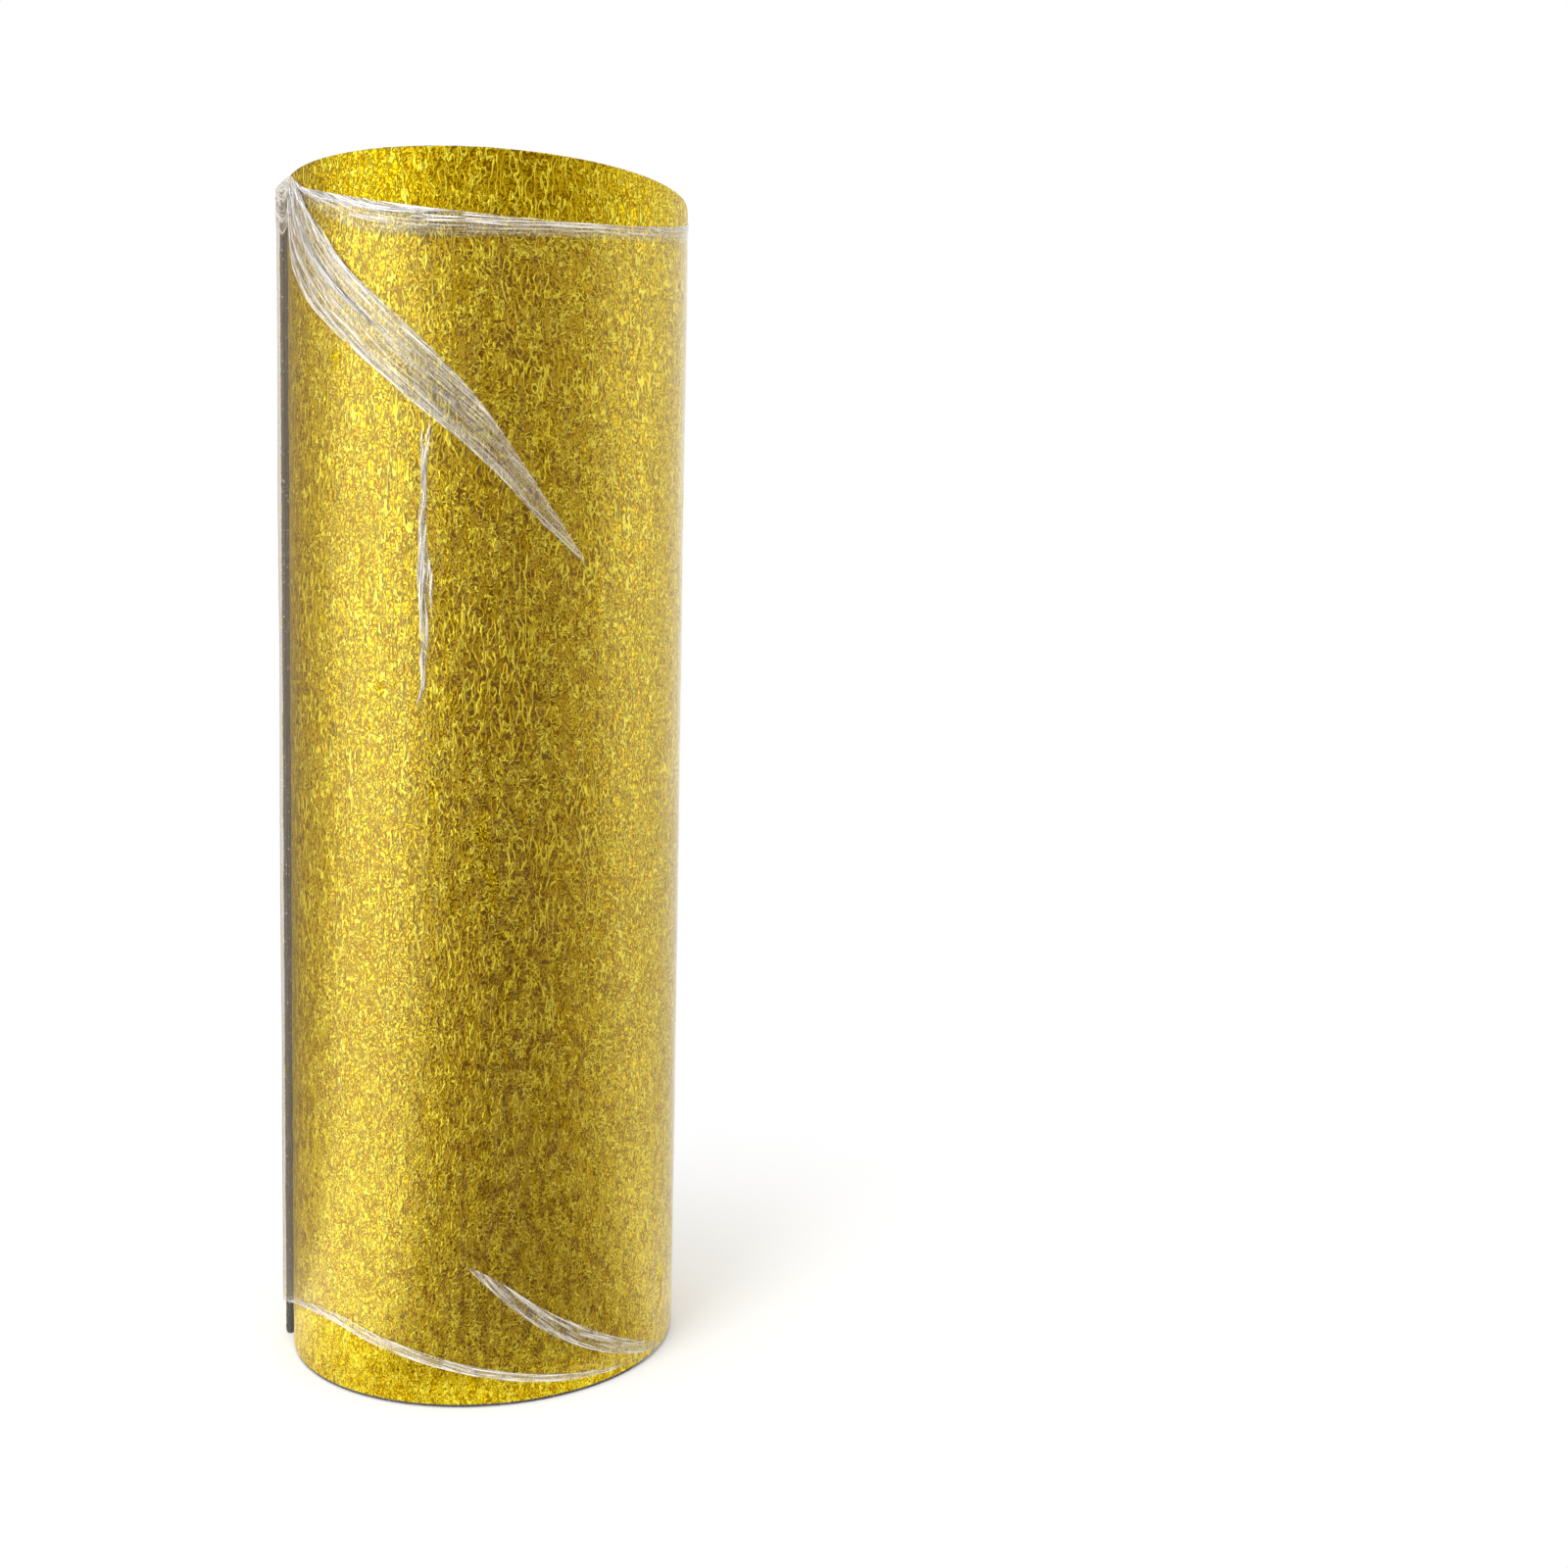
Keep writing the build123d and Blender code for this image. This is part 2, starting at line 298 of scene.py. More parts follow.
class Socket:
    """An output in a node tree. An expression on it adds the nodes that work it out."""

    def __init__(self, tree, output=None):
        self.tree = tree
        self.output = output

    def node(self, kind, settings=None, inputs=None, out=0):
        """Adds a node: its settings first, then the values or links of its input sockets."""
        made = self.tree.nodes.new(kind)
        for key, value in (settings or {}).items():
            setattr(made, key, value)
        for key, value in (inputs or {}).items():
            if isinstance(value, Socket):
                self.tree.links.new(value.output, made.inputs[key])
            else:
                made.inputs[key].default_value = value
        return Socket(self.tree, made.outputs[out] if len(made.outputs) else None)

    __add__, __radd__ = operator("ADD"), operator("ADD", True)
    __sub__, __rsub__ = operator("SUBTRACT"), operator("SUBTRACT", True)
    __mul__, __rmul__ = operator("MULTIPLY"), operator("MULTIPLY", True)
    __truediv__, __rtruediv__ = operator("DIVIDE"), operator("DIVIDE", True)
    __pow__, __rpow__ = operator("POWER"), operator("POWER", True)

    def __abs__(self):
        return self.node("ShaderNodeMath", {"operation": "ABSOLUTE"}, {0: self})

    def clamp(self):
        """This value, held between 0 and 1."""
        settings = {"operation": "ADD", "use_clamp": True}
        return self.node("ShaderNodeMath", settings, {0: self, 1: 0.0})

    def step(self, low, high):
        """0 below low and 1 above high, smoothly between them, or the reverse if low is larger."""
        if low > high:
            return 1.0 - self.step(high, low)
        inputs = {"Value": self, "From Min": low, "From Max": high}
        return self.node("ShaderNodeMapRange", {"interpolation_type": "SMOOTHSTEP"}, inputs)

    def between(self, low, high):
        """A colour that runs from low to high as this goes from 0 to 1."""
        factor, first, second, colour_out = 0, 6, 7, 2
        shades = {factor: self, first: low, second: high}
        inputs = {k: v if isinstance(v, Socket) else (*v, 1.0) for k, v in shades.items()}
        return self.node("ShaderNodeMix", {"data_type": "RGBA"}, inputs, out=colour_out)

    def stretched(self, x, y, z=1.0):
        """This position, scaled along each axis."""
        inputs = {0: self, 1: (x, y, z)}
        return self.node("ShaderNodeVectorMath", {"operation": "MULTIPLY"}, inputs)

    def turned(self, degrees):
        """This position, turned about the third axis."""
        inputs = {"Vector": self, "Rotation": (0.0, 0.0, math.radians(degrees))}
        return self.node("ShaderNodeMapping", {}, inputs)

    def noise(self, scale, detail=2.0, roughness=0.5, distortion=0.0, flat=False):
        """Noise at this position, in all three directions or, if flat, in the first two."""
        inputs = {
            "Vector": self, "Scale": scale, "Detail": detail, "Roughness": roughness,
            "Distortion": distortion,
        }
        return self.node("ShaderNodeTexNoise", {"noise_dimensions": "2D" if flat else "3D"}, inputs)

    def cells(self, scale):
        """Distance from this position to the middle of the nearest of many scattered cells."""
        inputs = {"Vector": self, "Scale": scale}
        return self.node("ShaderNodeTexVoronoi", {}, inputs, out="Distance")

    def ridged(self, sharpness):
        """1 along the lines where this noise passes its middle, falling to 0 beside them."""
        return (1.0 - abs(self - 0.5) * sharpness).clamp()

    def bump(self, distance, strength=1.0):
        """A normal that tilts as this height changes, with 1 standing for this distance."""
        inputs = {"Height": self, "Distance": distance, "Strength": strength}
        return self.node("ShaderNodeBump", {}, inputs)


def new_material(name):
    """A material with an empty tree, and its Object coordinates."""
    made = bpy.data.materials.new(name)
    made.use_nodes = True
    made.node_tree.nodes.clear()
    return made, Socket(made.node_tree).node("ShaderNodeTexCoord", out="Object")


def surface_of(tree):
    """The piece's own surface coordinates: metres along it and metres across or up it."""
    return tree.node("ShaderNodeUVMap", {"uv_map": "surface"})


def attribute_of(tree, name):
    """A level that the piece carries at each of its points."""
    return tree.node("ShaderNodeAttribute", {"attribute_name": name}, out="Fac")


def finish_material(tree, **sockets):
    """Ends a tree in one Principled shader with these sockets, and its output."""
    inputs = {key.replace("_", " "): value for key, value in sockets.items()}
    shader = tree.node("ShaderNodeBsdfPrincipled", {}, inputs)
    tree.node("ShaderNodeOutputMaterial", {}, {"Surface": shader})


# ---------------------------------------------------------------- materials

def gold_foil():
    """Gold metallised film, embossed with worm-like crinkles.

    The worms are the lines where noise passes its middle: upright ridges, curls where the drift is
    high, and finer ones towards the foot of the roll. They fade in plain patches. Their crests are
    paler with a painted highlight, and their feet carry a painted shade, as dark as a crease is.
    """
    # the paler crest colour is a painted highlight, and the dark foot colour is a painted shade
    gold, crest_highlight_gold, foot_shade_gold = (0.98, 0.72, 0.01), (1.0, 0.87, 0.07), (0.34, 0.18, 0.0)
    line_sharpness, fine_sharpness, line_end = 11.0, 9.0, 0.9
    embossing_depth = 0.7 * MM
    material, place = new_material("gold_foil")
    surface = surface_of(place)
    level = place.node("ShaderNodeSeparateXYZ", {}, {0: place}, out="Z")

    drift = surface.noise(14.0, 2.0, flat=True)
    broad = surface.noise(60.0, 2.0, flat=True)
    curly = drift.step(0.42, 0.58)
    low_down = (level + drift * 0.5).step(0.85, 0.35)
    plain = surface.stretched(1.0, 0.5).noise(110.0, 1.0, flat=True).step(0.45, 0.62)

    ridge = surface.stretched(1.0, 0.35).noise(195.0, 1.0, 0.4, 0.2, flat=True)
    ridge = ridge.ridged(line_sharpness).step(0.0, line_end)
    curl = surface.noise(185.0, 1.0, 0.4, 0.5, flat=True)
    curl = curl.ridged(line_sharpness).step(0.0, line_end)
    fine = surface.stretched(1.0, 0.75).noise(280.0, 1.0, 0.5, 0.4, flat=True)
    fine = fine.ridged(fine_sharpness).step(0.0, line_end)

    worms = ridge * (1.0 - curly * 0.6) + curl * (0.15 + curly * 0.7)
    worms = worms * (1.0 - low_down * 0.45) + fine * (0.15 + low_down * 0.5)
    worms = worms * (1.0 - plain * 0.45)
    # a painted shade darkens each worm's foot, and a painted highlight pales its crest
    foot = worms.step(0.0, 0.14) * worms.step(0.6, 0.3)
    gold_with_crest_highlight = worms.step(0.4, 0.9).between(gold, crest_highlight_gold)
    finish_material(
        surface,
        Base_Color=(foot * 0.95).between(gold_with_crest_highlight, foot_shade_gold),
        Metallic=1.0,
        Roughness=0.28 + drift * 0.04,
        Normal=(worms + broad * 0.5).bump(embossing_depth),
    )
    return material


def closed_cell_foam():
    """Dark closed-cell foam: fine cells, pale cell walls with a painted glint, darker blotches."""
    # the pale speck colour is a painted glint on the cell walls
    dark, grey, cell_glint = (0.028, 0.028, 0.028), (0.15, 0.147, 0.145), (0.42, 0.42, 0.42)
    material, place = new_material("closed_cell_foam")
    blotch = place.noise(45.0, 3.0)
    grain = place.noise(850.0, 3.0, 0.65)
    cell = place.cells(700.0)
    # the pale specks are cell walls with a painted glint, and they are also less rough
    speck = place.cells(300.0).step(0.27, 0.1) * place.noise(140.0, 1.0).step(0.4, 0.6)
    level = (grain.step(0.36, 0.7) * 0.8 + blotch * 0.5 - 0.15).clamp()
    finish_material(
        place,
        Base_Color=speck.between(level.between(dark, grey), cell_glint),
        Roughness=0.8 - speck * 0.35,
        Normal=(grain * 0.8 + cell * 0.5 + blotch * 0.6).bump(1.0 * MM, 0.9),
    )
    return material


def stretch_film(name, haze, streak, spacing, length, sharpness, glint=0.0):
    """Clear stretch film. It mirrors a little, more so at a slant, and is milky at its creases.

    haze is how milky it is all over and streak how milky its creases are. The creases run along the
    first surface coordinate over about this length, this far apart across the second, and a second
    set crosses them at a small angle. glint is how much the creases mirror. The veil attribute
    scales all of it. Opacity is mirror + milky - mirror * milky, and the mirror's share of it is
    the metal part.
    """
    film_colour = (1.0, 0.965, 0.91, 1.0)
    straight_on, at_a_slant, slant_power = 0.02, 0.5, 6.0
    material, place = new_material(name)
    surface = surface_of(place)
    veil = attribute_of(place, "veil")
    along = surface.stretched(1.0 / length, 1.0 / spacing)
    crossing = surface.turned(5.0).stretched(1.3 / length, 1.6 / spacing)
    patch = surface.noise(24.0, 3.0, 0.6, flat=True)
    lines = along.noise(1.0, 2.0, 0.6, 0.4, flat=True).ridged(sharpness)
    crossed = crossing.noise(1.0, 2.0, 0.6, 0.4, flat=True).ridged(sharpness)
    cloud = along.noise(0.4, 2.0, flat=True)
    crease = lines * patch.step(0.36, 0.6) + crossed * patch.step(0.62, 0.4) * 0.8
    milky = (veil * (cloud * haze * 2.0 + crease * streak)).clamp()
    slant = surface.node("ShaderNodeLayerWeight", {}, {"Blend": 0.5}, out="Facing")
    mirror = straight_on + at_a_slant * slant ** slant_power
    if glint:
        mirror = (mirror + crease * veil * glint).clamp()
    alpha = mirror + milky - mirror * milky
    finish_material(
        surface,
        Base_Color=film_colour,
        Metallic=mirror / alpha,
        Roughness=0.1 + milky * 0.4,
        Alpha=alpha,
        Normal=(crease * veil).bump(0.4 * MM, 0.6),
    )
    return material


# ---------------------------------------------------------------- the laps' outlines

lap_inner_radius = 0.69 * body_radius


def lap_angles(front, half_gap):
    """The first and last angle of a lap that leaves this much of the end open to each side."""
    return front + half_gap - 360, front - half_gap


top_lap = lap_angles(top_edge_front, 90)
bottom_lap = lap_angles(bottom_edge_front, 80)


def lap_edge_radius(angle, first, last):
    """Distance from the axis to a lap's inner edge: an arc between two chords tangent to it."""
    furthest_past = 60
    reach = math.degrees(math.acos(lap_inner_radius / body_radius))
    start, end = first + reach, last - reach
    past = np.clip(np.maximum(start - angle, angle - end), 0, furthest_past)
    return lap_inner_radius / np.cos(np.radians(past))


def lap_cover(line, first, last):
    """1 where a plane point lies under the lap between these angles, and 0 past its edge."""
    fade_start, fade_end, margin = -5 * MM, -1 * MM, 4
    angle = np.degrees(np.arctan2(line[..., 1], line[..., 0]))
    angle = np.mod(angle - first, 360) + first
    radius = np.hypot(line[..., 0], line[..., 1])
    clear = radius - lap_edge_radius(np.minimum(angle, last), first, last)
    return smooth_step(fade_start, fade_end, clear) * (angle < last + margin)


# ---------------------------------------------------------------- the foam

# points crowd together over this many degrees at the sheet's outer end
end_span = 1.8

# where the wedge at the sheet's inner end would come to nothing
lead_start = lift_angle + 16

# about the arc that one degree is at a radius of one metre
rough_arc = 0.0175


def sheet_section():
    """Half of the sheet's section: up its inner face, over a cut edge and down its outer face.

    Each point has its share of the thickness, and its inset from the face and its rise as shares of
    the edge's rounding: two quarter circles, with a flat between them.
    """
    bend = np.linspace(0, np.pi / 2, 5)
    flat = np.linspace(0.28, 0.72, 4)
    depth = np.concatenate([0 * bend, flat, 0 * bend + 1])
    inset = np.concatenate([1 - np.cos(bend), 0 * flat, np.cos(bend[::-1]) - 1])
    rise = np.concatenate([np.sin(bend), 0 * flat + 1, np.sin(bend[::-1])])
    return depth, inset, rise


def foam_roll(material):
    """The wound sheet: its section, an upright rectangle with rounded edges, along the winding.

    Both cut edges wander a little and sink where a lap presses on them, the winding wavers, the
    turns inside are pressed thinner here and there, and the inner end thins to a wedge.
    """
    angle = np.concatenate([
        np.linspace(lead_start + 2, step_angle, 24, endpoint=False),
        np.linspace(step_angle, last_angle - end_span, 2330, endpoint=False),
        towards(last_angle - end_span, last_angle, 12),
    ])
    turn = np.radians(angle)
    radius = winding_radius(angle)
    reach = radius / body_radius
    waver = ripples(11, turn * 3, reach * 6, 7.0, 6.0, 30) * 0.6 * MM
    radius = radius + waver * np.sin(np.pi * np.clip(reach, 0, 1))

    least_thickness, foil_clearance = 0.3 * MM, 0.06 * MM
    outer_turn, fade_span = 380, 60
    lead_in = np.clip((angle - lead_start) / (step_angle - lead_start), 0, 1)
    inside = np.clip((last_angle - outer_turn - angle) / fade_span, 0, 1)
    pressed = np.clip(ripples(12, turn, 0 * turn, 2.2, 1.0, 40) * 0.35 - 0.45, -1.2, 0) * MM
    pressed = pressed * inside * (lead_in == 1)
    thickness = np.maximum(
        foam_thickness * lead_in + pressed - foil_clearance, least_thickness)[:, None]
    end_rounding, edge_rounding = 1.4 * MM, 2.4 * MM
    inner_pull = drawn_back(before_end(angle), end_rounding, end_rounding)[:, None]
    outer_pull = inner_pull + squeezed_end(angle)[:, None]
    span = thickness - inner_pull - outer_pull
    rounding = np.minimum(edge_rounding, span * 0.45)
    depth, inset, rise = sheet_section()
    across = depth * span + inner_pull + inset * rounding

    wander = ripples(13, turn, 0 * turn, 1.7, 1.0, 40) * 0.25 * MM
    wander = np.clip(wander, -0.4 * MM, 0.4 * MM)[:, None] - 0.5 * MM
    run = angle[:, None] * radius[:, None] * rough_arc
    rough_top = ripples(14, run, across, 5 * MM, 4 * MM, 40) * 0.1 * MM
    rough_bottom = ripples(15, run, across, 5 * MM, 4 * MM, 40) * 0.1 * MM
    line = round_axis(angle, radius, 0.0)[:, :2]
    top_pocket = 0.9 * MM * lap_cover(line, *top_lap)[:, None]
    bottom_pocket = 0.8 * MM * lap_cover(line, *bottom_lap)[:, None]
    top = roll_height - (1 - rise) * rounding + wander + rough_top - top_pocket
    bottom = (1 - rise) * rounding + rough_bottom.clip(0, None) + bottom_pocket
    points = swept(
        line, np.hstack([across, across[:, ::-1]]), np.hstack([top, bottom[:, ::-1]]))
    return piece("foam_sheet_wound", [points], material, "foam_sheet", flip=True)


# ---------------------------------------------------------------- the gold facing

def foil_relief(along, height):
    """How far the foil stands out: upright ridges, broad dents and faint bands round the roll."""
    ridges = ripples(21, along, height, 8 * MM, 30 * MM, 90, 0.45)
    dents = ripples(22, along, height, 45 * MM, 60 * MM, 50, 0.6)
    bands = ripples(23, along * 0.12, height, 30 * MM, 30 * MM, 30, 0.5)
    return 0.06 * MM * ridges + 0.13 * MM * dents + 0.06 * MM * bands


def facing_strip(angle, heights, shown):
    """A closed strip on the foam's outer face, over these winding angles and heights.

    One that is shown carries the relief, less of it near its edges, curls in at both edges and
    gives way with the foam at the sheet's end. Its surface coordinates are the distance along it
    and the height.
    """
    outer_face, deepest, highest = foam_thickness + 0.28 * MM, -0.2 * MM, 0.24 * MM
    line = round_axis(angle, winding_radius(angle), 0.0)[:, :2]
    steps = np.linalg.norm(np.diff(line + outward(line) * foam_thickness, axis=0), axis=1)
    along = np.concatenate([[0], np.cumsum(steps)])[:, None]
    outer = np.full((len(angle), len(heights)), outer_face)
    inner = np.full((len(angle), 2), foam_thickness)
    if shown:
        near = np.minimum(heights, roll_height - heights)
        curl = drawn_back(near, 2.2 * MM, 1.5 * MM)
        relief = foil_relief(along, heights[None]) * np.clip(near / (9 * MM), 0.25, 1)
        pull = squeezed_end(angle)[:, None]
        outer = outer + np.clip(relief, deepest, highest) - curl - pull
        inner = inner - curl[[-1, 0]] - pull
    levels = np.concatenate([heights, heights[[-1, 0]]])
    points = swept(line, np.hstack([outer, inner]), levels)
    return points, np.stack(np.broadcast_arrays(along, levels), axis=-1)


def gold_roll(material):
    """The facing: a thin strip with relief round the outermost turn, and a plain one inside it."""
    lower_edge, upper_edge, plain_edge = 3.2 * MM, roll_height - 1.0 * MM, 6 * MM
    rim, rim_width = np.array([0.0, 0.4, 0.9, 1.6, 2.5]) * MM, 5 * MM
    fine_start, fine_end = last_angle - 375, last_angle - 0.4
    outer_angle = np.concatenate([
        np.linspace(fine_start, last_angle - end_span, 530, endpoint=False),
        towards(last_angle - end_span, fine_end, 12),
    ])
    fine_heights = np.concatenate([
        lower_edge + rim,
        np.linspace(lower_edge + rim_width, upper_edge - rim_width, 148),
        (upper_edge - rim)[::-1],
    ])
    inner_angle = np.linspace(step_angle, fine_start, 2300)
    plain_heights = np.array([plain_edge, roll_height - plain_edge])
    skin, skin_uv = facing_strip(outer_angle, fine_heights, True)
    hidden, hidden_uv = facing_strip(inner_angle, plain_heights, False)
    return piece(
        "gold_facing_wound", [skin, hidden], material, "gold_facing",
        uv=[skin_uv, hidden_uv],
    )


# ---------------------------------------------------------------- the film

# walls, how near the film's edges come to the ends of the roll, and the scale that turns a place,
# as (angle, height in mm), into metres round and up the roll
film_wall = 0.12 * MM
fold_wall = 0.15 * MM
rim_margin = 0.4 * MM
arc_scale = np.array([DEGREE * body_radius, MM])


def both_walls(outer, inner):
    """The outer wall's grid and the inner one's, side by side and closed round their edges."""
    return np.concatenate([outer, inner[:, ::-1]], axis=1)


def film_shell(angle, height, offset, wall):
    """A thin closed shell round the roll, from its angles, heights and offsets from the facing."""
    radius = wrap_radius(angle, 0.0) + offset
    return both_walls(round_axis(angle, radius, height), round_axis(angle, radius - wall, height))


def shell_uv(u, v):
    """Surface coordinates for both walls of a shell."""
    uv = np.stack(np.broadcast_arrays(u, v), axis=-1)
    return both_walls(uv, uv)


def top_edge_height(angle):
    """Height of the film's upper edge: a plane that dips towards the front."""
    dip = top_edge_drop * np.cos(np.radians(angle - top_edge_front))
    return np.minimum(roll_height - dip, roll_height - rim_margin)


def bottom_edge_height(angle):
    """Height of the film's lower edge, along its listed points, and 0 where it has none."""
    samples = through(bottom_edge_points, np.linspace(0, 1, 200))
    return np.interp(np.mod(angle, 360), samples[:, 0], samples[:, 1], left=0, right=0) * MM


def film_body():
    """The wrap round the body, between its sloping edges, rippled and drawn in at its rims."""
    angle = np.linspace(0, 360, 361)[:-1, None]
    share = np.linspace(0, 1, 110)[None]
    low = np.maximum(bottom_edge_height(angle), rim_margin)
    high = top_edge_height(angle)
    height = low + (high - low) * share
    along = np.radians(angle) * body_radius
    ripple = ripples(31, along, height, 60 * MM, 240 * MM, 40) * 0.16 * MM
    ripple += ripples(32, along, height, 14 * MM, 120 * MM, 40) * 0.05 * MM
    near = np.minimum(height, roll_height - height)
    rest_offset = 0.62 * MM
    offset = rest_offset + ripple - drawn_back(near, 3 * MM, 1.6 * MM)
    points = film_shell(angle + 0 * height, height, offset, film_wall)
    return piece(
        "film_wrap_round_body", [points], clear_film, "film_body_wrap",
        ring=True, uv=[shell_uv(height, along)], veil=1.0,
    )


def ribbon(name, node, upper, lower, counts, seed, lift, ridge_height,
           edges=0.5, fade=0.0, ends=0.04, milk=1.0):
    """A gathered strip of film that lies on the wrap between two curves of (angle, height in mm).

    It stands off the facing by lift, plus fine ridges along it: waves across its width that drift
    along its length. Its veil is thicker at the two edges by the share edges, thins towards the
    lower edge by the share fade, and dies out at both ends over the share ends of its length. milk
    scales it all, as one level or as levels spread along the strip. counts is how many points it
    has along and across.
    """
    t = np.linspace(0, 1, counts[0])
    share = np.linspace(0, 1, counts[1])[None, :]
    high, low = through(upper, t), through(lower, t)
    place = low[:, None, :] * (1 - share[..., None]) + high[:, None, :] * share[..., None]
    run = np.linalg.norm(np.diff((high + low) / 2 * arc_scale, axis=0), axis=1)
    along = np.concatenate([[0], np.cumsum(run)])[:, None]
    across = np.linalg.norm((high - low) * arc_scale, axis=1)[:, None] * share
    ridges = ripples(seed, along, across, 90 * MM, 4 * MM, 50)
    ridges = ridges + 0.5 * ripples(seed + 1, along, across, 50 * MM, 2 * MM, 50)
    offset = lift + ridge_height * np.abs(ridges) * (0.3 + 0.7 * np.sin(np.pi * share) ** 0.5)
    points = film_shell(place[..., 0], place[..., 1] * MM, offset, fold_wall)
    body = 1 - edges + edges * np.abs(2 * share - 1) ** 2
    tail = smooth_step(0, ends, t) * smooth_step(0, ends, 1 - t)
    milkiness = np.interp(t, np.linspace(0, 1, np.size(milk)), np.atleast_1d(milk))[:, None]
    veil = milkiness * body * (1 - fade * np.sqrt(1 - share)) * tail[:, None]
    return piece(
        name, [points], gathered_film, node,
        uv=[shell_uv(along, across)], veil=both_walls(veil, veil),
    )


def strand(name, node, path, width, seed, lift=1.5, milk=1.0):
    """A narrow fold of film along a path of (angle, height in mm).

    It is widest in the middle, where it measures width in mm, and comes nearly to a point at both
    ends, as half a sine wave does. lift is in mm too.
    """
    t = np.linspace(0, 1, 40)
    line = through(path, t) * arc_scale
    ahead = np.gradient(line, axis=0)
    side = np.stack([-ahead[:, 1], ahead[:, 0]], axis=-1) / np.linalg.norm(ahead, axis=1)[:, None]
    side = side * (width * MM / 2 * np.sin(np.pi * t * 0.94 + 0.1))[:, None]
    return ribbon(
        name, node, (line + side) / arc_scale, (line - side) / arc_scale, counts=(120, 8),
        seed=seed, lift=lift * MM, ridge_height=0.3 * MM, edges=0.2, milk=milk,
    )


def lap(name, node, first, last, top):
    """A crescent of film over one end: rings run from the rim in to the taut inner edge.

    It is ruffled and has a folded edge, and it is milkiest at that edge and where it is gathered,
    towards its last angle.
    """
    overrun, rim_rounding, least_width = 3, 1.4 * MM, 0.3 * MM
    angle = np.linspace(first - overrun, last + overrun, 260)[:, None]
    share = np.linspace(0, 1, 40)[None]
    rim = wrap_radius(angle, 0.5 * MM) - rim_rounding
    edge = np.minimum(lap_edge_radius(angle, first, last), rim - least_width)
    radius = rim + (edge - rim) * share
    ruffle = ripples(51, np.radians(angle) * 0.12, radius, 60 * MM, 9 * MM, 50) * 0.12 * MM
    if top:
        edge_fold = 0.25 * MM * np.exp(-((1 - share) * 12) ** 2)
        level = roll_height - 0.75 * MM + ruffle + edge_fold
        inner_level = level - film_wall
    else:
        level = 0.42 * MM - np.clip(ruffle, -0.2 * MM, 0.2 * MM)
        inner_level = level + film_wall
    points = both_walls(round_axis(angle, radius, level), round_axis(angle, radius, inner_level))
    gathered = np.clip((angle - first) / (last - first), 0, 1)
    edge_line = np.exp(-((radius - edge) / (0.9 * MM)) ** 2)
    veil = 0.5 + 1.5 * gathered ** 4 + 1.6 * edge_line + 0.8 * gathered * (1 - share) ** 3
    return piece(
        name, [points], hazy_film, node, flip=not top,
        uv=[shell_uv(np.radians(angle) * body_radius, share * 55 * MM)],
        veil=both_walls(veil, veil),
    )


# ---------------------------------------------------------------- the pieces

clear_film = stretch_film(
    "stretch_film_clear", haze=0.0005, streak=0.004, spacing=14 * MM, length=90 * MM, sharpness=9.0)
hazy_film = stretch_film(
    "stretch_film_over_ends", haze=0.035, streak=0.24, spacing=4 * MM, length=160 * MM,
    sharpness=16.0, glint=0.06)
gathered_film = stretch_film(
    "stretch_film_gathered", haze=0.06, streak=0.9, spacing=3 * MM, length=150 * MM,
    sharpness=18.0, glint=0.12)

foam_roll(closed_cell_foam())
gold_roll(gold_foil())
film_body()
lap("film_lap_top", "film_top_lap", *top_lap, top=True)
lap("film_lap_bottom", "film_bottom_lap", *bottom_lap, top=False)

hem_widths = (4, 16, 26, 22, 15, 12, 13, 14, 6)
hem_angles = np.linspace(192, 366, len(hem_widths))
hem_upper = [(a, float(top_edge_height(a)) / MM) for a in hem_angles]
hem_lower = [(a, h - w) for (a, h), w in zip(hem_upper, hem_widths)]
ribbon(
    "film_hem_top", "film_top_hem", hem_upper, hem_lower, counts=(400, 20), seed=61,
    lift=1.0 * MM, ridge_height=0.25 * MM, edges=0.0, fade=1.0, milk=1.5,
)
ribbon(
    "film_corner_gathered", "film_top_hem",
    [(166, 1047), (174, 1049), (180, 1049), (188, 1049), (196, 1048), (204, 1040)],
    [(166, 1040), (174, 1030), (180, 1016), (188, 1004), (196, 1012), (204, 1030)],
    counts=(160, 20), seed=89, lift=1.0 * MM, ridge_height=0.3 * MM, edges=0.2, ends=0.2,
)

low_widths = (2, 5, 9, 10, 9, 8, 6, 3)
low_angles = np.linspace(186, 312, len(low_widths))
low_lower = [(a, float(bottom_edge_height(a)) / MM) for a in low_angles]
low_upper = [(a, h + w) for (a, h), w in zip(low_lower, low_widths)]
ribbon(
    "film_hem_bottom", "film_bottom_hem", low_upper, low_lower, counts=(260, 10), seed=63,
    lift=1.0 * MM, ridge_height=0.25 * MM, edges=0.3,
)

band_upper = [
    (199, 1048), (205, 1034), (212, 1010), (221, 980), (232, 950), (244, 920),
    (256, 886), (268, 846), (280, 794), (289, 754), (297, 720),
]
band_lower = [
    (196, 1030), (198, 985), (209, 952), (222, 918), (235, 885), (248, 851),
    (261, 820), (272, 790), (282, 758), (290, 736), (297, 719),
]
ribbon(
    "film_band_diagonal", "film_diagonal_band", band_upper, band_lower, counts=(420, 48), seed=65,
    lift=1.4 * MM, ridge_height=0.45 * MM, edges=0.6, milk=(1.0, 1.1, 1.0, 0.7, 0.5, 0.55, 1.0),
)

# the folds that spread from the top corner over the diagonal band: name, path, width, seed, lift
for name, path, width, seed, lift in [
    ("to_hem", [(199, 1046), (211, 1026), (225, 1014), (243, 1001), (258, 997)], 7, 71, 1.5),
    ("upper", [(199, 1044), (208, 1018), (218, 992), (227, 962), (240, 926)], 6, 73, 2.0),
    ("middle", [(197, 1042), (204, 1010), (213, 976), (226, 940), (242, 900)], 5, 75, 2.0),
    ("lower", [(196, 1034), (199, 984), (211, 943), (225, 909), (246, 858)], 7, 77, 2.0),
]:
    strand(f"film_strand_{name}", "film_diagonal_band", path, width, seed, lift)

